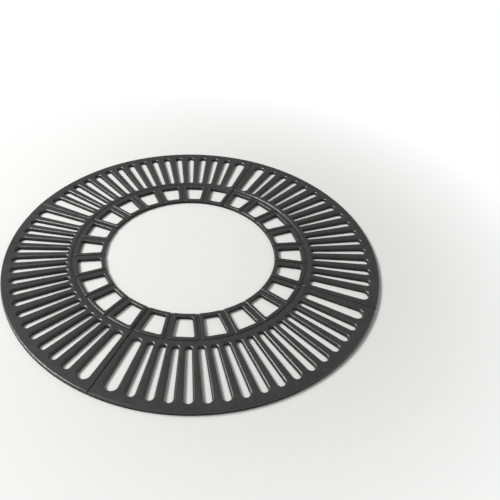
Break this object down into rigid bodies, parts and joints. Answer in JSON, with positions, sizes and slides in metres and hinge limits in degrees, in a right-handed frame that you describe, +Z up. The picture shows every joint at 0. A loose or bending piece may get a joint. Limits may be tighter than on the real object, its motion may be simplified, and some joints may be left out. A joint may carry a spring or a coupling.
{
  "type": "tree grate",
  "caption": "Round cast iron tree grate: slotted quadrant castings round a ring of open framed inserts and a central opening for the trunk.",
  "frame": {"origin": "on the ground at the centre of the tree opening", "axes": "+Z up, normal to the grate; the joints between the castings lie on the X and Y axes"},
  "size_m": [1.5, 1.5, 0.016],
  "materials": {
    "casting_iron": "dark grey as-cast iron, matt with a faint sheen on worn edges",
    "insert_iron": "dark grey as-cast iron, matt with a faint sheen on worn edges",
    "plate_steel": "dark painted steel strip",
    "screw_steel": "plain zinc-plated steel"
  },
  "bodies": {
    "root": {"quadrant_casting_back_right": "casting_iron", "quadrant_casting_back_left": "casting_iron", "quadrant_casting_front_left": "casting_iron", "quadrant_casting_front_right": "casting_iron", "ring_insert_01": "insert_iron", "ring_insert_02": "insert_iron", "ring_insert_03": "insert_iron", "ring_insert_04": "insert_iron", "ring_insert_05": "insert_iron", "ring_insert_06": "insert_iron", "ring_insert_07": "insert_iron", "ring_insert_08": "insert_iron", "ring_insert_09": "insert_iron", "ring_insert_10": "insert_iron", "ring_insert_11": "insert_iron", "ring_insert_12": "insert_iron", "ring_insert_13": "insert_iron", "ring_insert_14": "insert_iron", "ring_insert_15": "insert_iron", "ring_insert_16": "insert_iron", "ring_insert_17": "insert_iron", "ring_insert_18": "insert_iron", "ring_insert_19": "insert_iron", "ring_insert_20": "insert_iron", "ring_insert_21": "insert_iron", "ring_insert_22": "insert_iron", "ring_insert_23": "insert_iron", "ring_insert_24": "insert_iron", "joining_plate_right": "plate_steel", "joining_plate_back": "plate_steel", "joining_plate_left": "plate_steel", "joining_plate_front": "plate_steel", "joining_screws": "screw_steel"}
  },
  "joints": []
}
